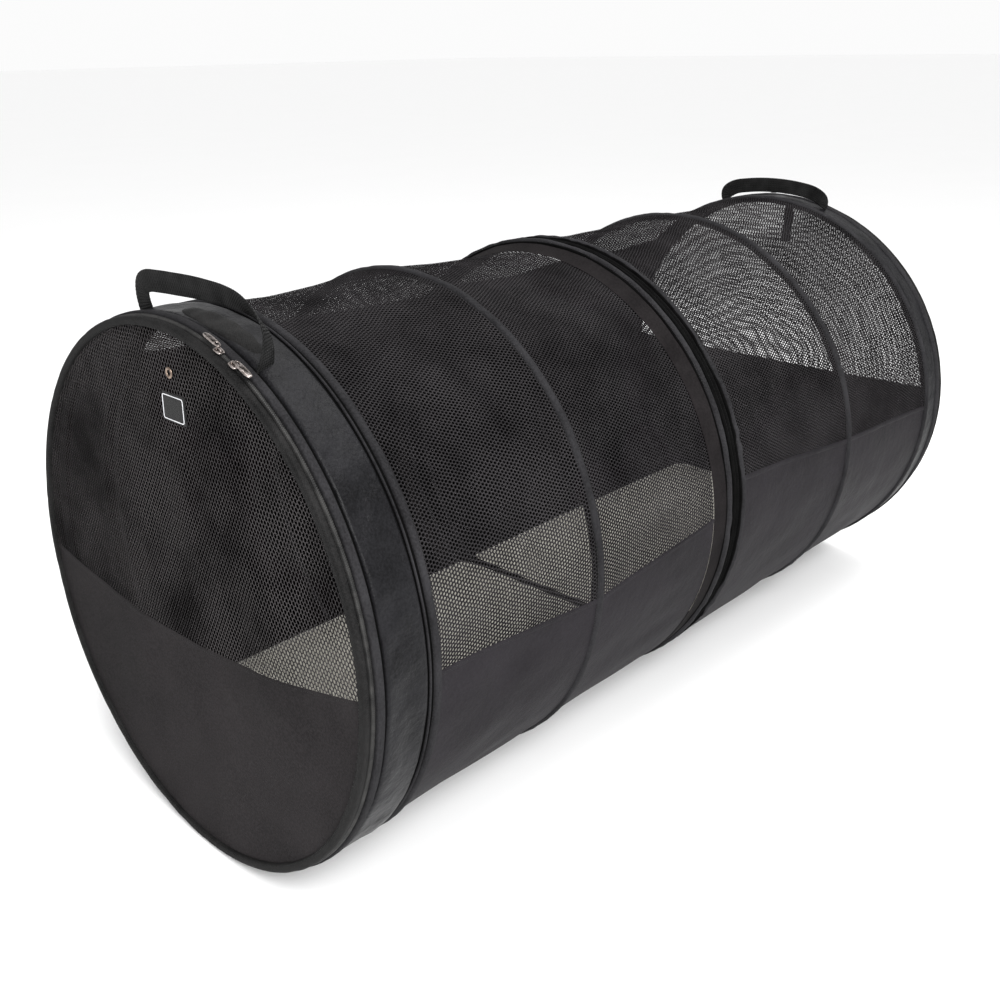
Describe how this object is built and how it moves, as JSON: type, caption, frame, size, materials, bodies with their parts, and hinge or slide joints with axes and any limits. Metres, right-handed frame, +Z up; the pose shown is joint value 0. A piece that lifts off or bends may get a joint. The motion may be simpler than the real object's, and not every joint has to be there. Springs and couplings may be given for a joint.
{
  "type": "collapsible mesh tunnel kennel",
  "caption": "Collapsible mesh tunnel on sprung hoops, in halves joined by a zip, with zipped disc doors, carry handles and floor boards.",
  "frame": {"origin": "on the floor under the middle of the tunnel: centre of the base of the bounding box", "axes": "+Y along the tunnel from the front door to the rear door, +Z up, +X to the right seen from the front door"},
  "size_m": [0.6096, 1.1932, 0.6516],
  "materials": {
    "spring_wire": "bright drawn spring-steel wire",
    "sleeve_fabric": "black polyester binding, matt weave, grey along its worn crown",
    "band_fabric": "black coated polyester, slight satin sheen, soft wrinkles",
    "mesh_fabric": "black knitted hexagon-hole mesh, see-through",
    "wall_fabric": "charcoal-black oxford polyester with a fine plain weave",
    "zip_coil": "black nylon zip coil on woven tape",
    "binding": "black rounded binding tape, fine ribs",
    "zip_metal": "nickel-plated die-cast zinc, softly polished",
    "eyelet_metal": "antique nickel eyelet, brownish",
    "webbing": "black polypropylene webbing with cross ribs",
    "board_cover": "light grey-beige fleece-like cover over a stiff board",
    "label": "black woven label with a plain pale border, no lettering"
  },
  "bodies": {
    "front_end": {"front_hoop": "spring_wire", "front_sleeve": "sleeve_fabric", "front_band": "band_fabric", "front_zip_coil": "zip_coil", "front_sill": "wall_fabric", "floor_board_front": "board_cover"},
    "front_door": {"front_door_rim": "binding", "front_door_panel": "wall_fabric", "front_door_mesh": "mesh_fabric", "front_door_label": "label", "front_door_eyelet": "eyelet_metal"},
    "front_slider_left": {"front_slider_left": "zip_metal"},
    "front_pull_left": {"front_pull_left": "zip_metal"},
    "front_slider_right": {"front_slider_right": "zip_metal"},
    "front_pull_right": {"front_pull_right": "zip_metal"},
    "front_handle": {"front_handle": "webbing"},
    "ring_b": {"ring_b_hoop": "spring_wire", "ring_b_sleeve": "sleeve_fabric", "mesh_wall_1": "mesh_fabric", "closed_wall_1": "wall_fabric"},
    "ring_c": {"ring_c_hoop": "spring_wire", "ring_c_sleeve": "sleeve_fabric", "mesh_wall_2": "mesh_fabric", "closed_wall_2": "wall_fabric"},
    "ring_d": {"ring_d_hoop": "spring_wire", "ring_d_sleeve": "sleeve_fabric", "middle_zip_front": "zip_coil", "joint_strip": "band_fabric"},
    "middle_slider": {"middle_slider": "zip_metal"},
    "middle_pull": {"middle_pull": "zip_metal"},
    "ring_e": {"ring_e_hoop": "spring_wire", "ring_e_sleeve": "sleeve_fabric", "middle_zip_rear": "zip_coil", "mesh_wall_3": "mesh_fabric", "closed_wall_3": "wall_fabric", "floor_board_rear": "board_cover"},
    "ring_f": {"ring_f_hoop": "spring_wire", "ring_f_sleeve": "sleeve_fabric", "mesh_wall_4": "mesh_fabric", "closed_wall_4": "wall_fabric"},
    "ring_g": {"ring_g_hoop": "spring_wire", "ring_g_sleeve": "sleeve_fabric", "rear_band": "band_fabric"},
    "rear_end": {"rear_hoop": "spring_wire", "rear_sleeve": "sleeve_fabric", "rear_zip_coil": "zip_coil", "rear_sill": "wall_fabric"},
    "rear_door": {"rear_door_rim": "binding", "rear_door_panel": "wall_fabric", "rear_door_mesh": "mesh_fabric", "rear_door_strap": "webbing"},
    "rear_slider_left": {"rear_slider_left": "zip_metal"},
    "rear_pull_left": {"rear_pull_left": "zip_metal"},
    "rear_slider_right": {"rear_slider_right": "zip_metal"},
    "rear_pull_right": {"rear_pull_right": "zip_metal"},
    "rear_handle": {"rear_handle": "webbing"}
  },
  "joints": [
    {"name": "front_fold", "type": "slide", "parent": "front_end", "child": "ring_d", "axis": [0, -1, 0], "range_m": [0, 0.5111], "deforming": ["front_band", "mesh_wall_1", "closed_wall_1", "mesh_wall_2", "closed_wall_2", "joint_strip", "floor_board_front"]},
    {"name": "ring_b_slide", "type": "slide", "parent": "front_end", "child": "ring_b", "axis": [0, -1, 0], "range_m": [0, 0.0499]},
    {"name": "ring_c_slide", "type": "slide", "parent": "front_end", "child": "ring_c", "axis": [0, -1, 0], "range_m": [0, 0.2749]},
    {"name": "halves_part", "type": "slide", "parent": "ring_d", "child": "ring_e", "axis": [0, 1, 0], "range_m": [0, 0.3]},
    {"name": "rear_fold", "type": "slide", "parent": "ring_e", "child": "rear_end", "axis": [0, -1, 0], "range_m": [0, 0.5111], "deforming": ["mesh_wall_3", "closed_wall_3", "mesh_wall_4", "closed_wall_4", "rear_band", "floor_board_rear"]},
    {"name": "ring_f_slide", "type": "slide", "parent": "ring_e", "child": "ring_f", "axis": [0, -1, 0], "range_m": [0, 0.2578]},
    {"name": "ring_g_slide", "type": "slide", "parent": "ring_e", "child": "ring_g", "axis": [0, -1, 0], "range_m": [0, 0.4938]},
    {"name": "front_door_hinge", "type": "hinge", "parent": "front_end", "child": "front_door", "pos_m": [0, -0.5969, 0.045], "axis": [1, 0, 0], "range_deg": [0, 90]},
    {"name": "rear_door_hinge", "type": "hinge", "parent": "rear_end", "child": "rear_door", "pos_m": [0, 0.5969, 0.045], "axis": [-1, 0, 0], "range_deg": [0, 90]},
    {"name": "front_slider_left_run", "type": "hinge", "parent": "front_end", "child": "front_slider_left", "pos_m": [0, -0.5882, 0.3048], "axis": [0, 1, 0], "range_deg": [-164, 0]},
    {"name": "front_pull_left_swing", "type": "hinge", "parent": "front_slider_left", "child": "front_pull_left", "pos_m": [0.10727, -0.5882, 0.5948], "axis": [0, 1, 0], "range_deg": [0, 90]},
    {"name": "front_slider_right_run", "type": "hinge", "parent": "front_end", "child": "front_slider_right", "pos_m": [0, -0.5882, 0.3048], "axis": [0, 1, 0], "range_deg": [0, 119]},
    {"name": "front_pull_right_swing", "type": "hinge", "parent": "front_slider_right", "child": "front_pull_right", "pos_m": [0.13067, -0.5882, 0.58503], "axis": [0, 1, 0], "range_deg": [-90, 0]},
    {"name": "middle_slider_run", "type": "hinge", "parent": "ring_d", "child": "middle_slider", "pos_m": [0, 0, 0.3048], "axis": [0, 1, 0], "range_deg": [0, 300]},
    {"name": "middle_pull_swing", "type": "hinge", "parent": "middle_slider", "child": "middle_pull", "pos_m": [-0.1546, 0, 0.03702], "axis": [0, 1, 0], "range_deg": [-90, 0]},
    {"name": "rear_slider_left_run", "type": "hinge", "parent": "rear_end", "child": "rear_slider_left", "pos_m": [0, 0.5882, 0.3048], "axis": [0, 1, 0], "range_deg": [-141.5, 0]},
    {"name": "rear_pull_left_swing", "type": "hinge", "parent": "rear_slider_left", "child": "rear_pull_left", "pos_m": [-0.01295, 0.5882, 0.61373], "axis": [0, 1, 0], "range_deg": [0, 90]},
    {"name": "rear_slider_right_run", "type": "hinge", "parent": "rear_end", "child": "rear_slider_right", "pos_m": [0, 0.5882, 0.3048], "axis": [0, 1, 0], "range_deg": [0, 141.5]},
    {"name": "rear_pull_right_swing", "type": "hinge", "parent": "rear_slider_right", "child": "rear_pull_right", "pos_m": [0.01295, 0.5882, 0.61373], "axis": [0, 1, 0], "range_deg": [-90, 0]},
    {"name": "front_handle_swing", "type": "hinge", "parent": "front_end", "child": "front_handle", "pos_m": [0.05636, -0.5639, 0.59475], "axis": [0.9816, 0, -0.1908], "range_deg": [-77, 33], "deforming": ["front_handle"]},
    {"name": "rear_handle_swing", "type": "hinge", "parent": "rear_end", "child": "rear_handle", "pos_m": [0, 0.5639, 0.59878], "axis": [1, 0, 0], "range_deg": [-40, 40], "deforming": ["rear_handle"]}
  ],
  "couplings": [
    {"joint": "ring_b_slide", "follows": "front_fold", "ratio": 0.097241},
    {"joint": "ring_c_slide", "follows": "front_fold", "ratio": 0.53747},
    {"joint": "ring_f_slide", "follows": "rear_fold", "ratio": 0.50401},
    {"joint": "ring_g_slide", "follows": "rear_fold", "ratio": 0.96576}
  ]
}
